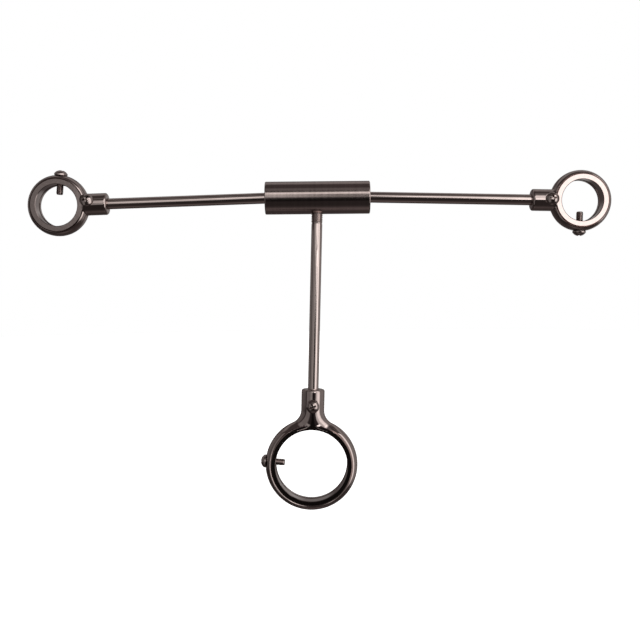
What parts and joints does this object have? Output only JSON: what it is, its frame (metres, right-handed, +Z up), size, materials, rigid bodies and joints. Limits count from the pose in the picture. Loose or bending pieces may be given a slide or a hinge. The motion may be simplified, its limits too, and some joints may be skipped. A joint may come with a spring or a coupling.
{
  "type": "rod clamp bracket",
  "caption": "T-shaped spreader bracket: a hub with thin rods that end in clamp rings, each with a clamp screw, for tying round poles together.",
  "frame": {"origin": "centre of the large ring's bore, at mid-length", "axes": "+Z up the stem side towards the hub, +X along the hub to the right arm, +Y along every bore, away from the screw heads"},
  "size_m": [0.2676, 0.015, 0.1585],
  "materials": {
    "brushed_hub": "black nickel, brushed round the hub",
    "bright_rod": "black nickel, bright drawn",
    "cast_ring": "black nickel on a polished casting",
    "plated_screw": "black nickel on steel"
  },
  "bodies": {
    "hub": {"hub": "brushed_hub"},
    "left_rod": {"left_rod": "bright_rod"},
    "right_rod": {"right_rod": "bright_rod"},
    "stem_rod": {"stem_rod": "bright_rod"},
    "left_ring": {"left_ring": "cast_ring"},
    "right_ring": {"right_ring": "cast_ring"},
    "main_ring": {"main_ring": "cast_ring"},
    "left_neck_screw": {"left_neck_screw": "plated_screw"},
    "right_neck_screw": {"right_neck_screw": "plated_screw"},
    "main_neck_screw": {"main_neck_screw": "plated_screw"},
    "left_clamp_screw": {"left_clamp_screw": "plated_screw"},
    "right_clamp_screw": {"right_clamp_screw": "plated_screw"},
    "main_clamp_screw": {"main_clamp_screw": "plated_screw"}
  },
  "joints": [
    {"name": "left_rod_travel", "type": "slide", "parent": "hub", "child": "left_rod", "axis": [-0.9997, 0, -0.0262], "range_m": [0, 0.004]},
    {"name": "left_ring_swivel", "type": "hinge", "parent": "left_rod", "child": "left_ring", "pos_m": [-0.11488, 0, 0.12095], "axis": [-0.9997, 0, -0.0262], "continuous": true},
    {"name": "left_neck_screw_travel", "type": "slide", "parent": "left_ring", "child": "left_neck_screw", "axis": [-0.009, -0.9397, 0.3419], "range_m": [0, 0.0015]},
    {"name": "left_clamp_travel", "type": "slide", "parent": "left_ring", "child": "left_clamp_screw", "axis": [0.0872, 0, 0.9962], "range_m": [0, 0.0055]},
    {"name": "right_rod_travel", "type": "slide", "parent": "hub", "child": "right_rod", "axis": [0.9997, 0, -0.0262], "range_m": [0, 0.004]},
    {"name": "right_ring_swivel", "type": "hinge", "parent": "right_rod", "child": "right_ring", "pos_m": [0.12465, 0, 0.1209], "axis": [0.9997, 0, -0.0262], "continuous": true},
    {"name": "right_neck_screw_travel", "type": "slide", "parent": "right_ring", "child": "right_neck_screw", "axis": [0.0018, -0.9976, 0.0697], "range_m": [0, 0.0015]},
    {"name": "right_clamp_travel", "type": "slide", "parent": "right_ring", "child": "right_clamp_screw", "axis": [-0.0262, 0, -0.9997], "range_m": [0, 0.0055]},
    {"name": "stem_rod_travel", "type": "slide", "parent": "hub", "child": "stem_rod", "axis": [-0.0323, 0, -0.9995], "range_m": [-0.004, 0.0025]},
    {"name": "main_ring_swivel", "type": "hinge", "parent": "stem_rod", "child": "main_ring", "pos_m": [0, 0, 0], "axis": [-0.0323, 0, -0.9995], "continuous": true},
    {"name": "main_neck_screw_travel", "type": "slide", "parent": "main_ring", "child": "main_neck_screw", "axis": [0, -1, 0], "range_m": [0, 0.0015]},
    {"name": "main_clamp_travel", "type": "slide", "parent": "main_ring", "child": "main_clamp_screw", "axis": [-0.9971, 0, 0.0758], "range_m": [0, 0.0055]}
  ]
}
